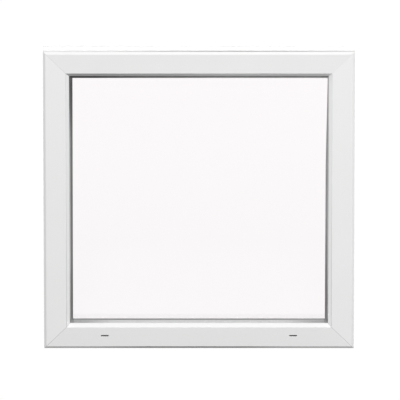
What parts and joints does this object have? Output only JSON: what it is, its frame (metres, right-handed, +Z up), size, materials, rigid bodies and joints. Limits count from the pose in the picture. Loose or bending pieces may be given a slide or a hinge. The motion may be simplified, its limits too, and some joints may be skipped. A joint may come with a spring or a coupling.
{
  "type": "fixed window light",
  "caption": "White plastic fixed window: mitred hollow-section frame with gaskets, glazing beads and a sealed double-glazing unit.",
  "frame": {"origin": "on the underside of the sill member, at half its length and half its depth, where the window stands on the wall", "axes": "+X to the right along the window as seen from outside, +Y through the wall into the room, +Z up"},
  "size_m": [0.9, 0.07, 0.9],
  "materials": {
    "white_plastic": "smooth satin white PVC",
    "galvanised_steel": "galvanised sheet steel",
    "gasket": "matt grey extruded gasket",
    "spacer_metal": "mill finish, rolled",
    "block_plastic": "moulded, matt",
    "clear_glass": "clear float glass",
    "sealant": "matt black sealant"
  },
  "bodies": {
    "root": {"frame_sill": "white_plastic", "steel_sill": "galvanised_steel", "bead_sill": "white_plastic", "outer_gasket_sill": "gasket", "room_gasket_sill": "gasket", "spacer_sill": "spacer_metal", "setting_block_sill_1": "block_plastic", "setting_block_sill_2": "block_plastic", "frame_right_jamb": "white_plastic", "steel_right_jamb": "galvanised_steel", "bead_right_jamb": "white_plastic", "outer_gasket_right_jamb": "gasket", "room_gasket_right_jamb": "gasket", "spacer_right_jamb": "spacer_metal", "setting_block_right_jamb_1": "block_plastic", "setting_block_right_jamb_2": "block_plastic", "frame_head": "white_plastic", "steel_head": "galvanised_steel", "bead_head": "white_plastic", "outer_gasket_head": "gasket", "room_gasket_head": "gasket", "spacer_head": "spacer_metal", "setting_block_head_1": "block_plastic", "setting_block_head_2": "block_plastic", "frame_left_jamb": "white_plastic", "steel_left_jamb": "galvanised_steel", "bead_left_jamb": "white_plastic", "outer_gasket_left_jamb": "gasket", "room_gasket_left_jamb": "gasket", "spacer_left_jamb": "spacer_metal", "setting_block_left_jamb_1": "block_plastic", "setting_block_left_jamb_2": "block_plastic", "outer_pane": "clear_glass", "inner_pane": "clear_glass", "edge_sealant": "sealant"}
  },
  "joints": []
}
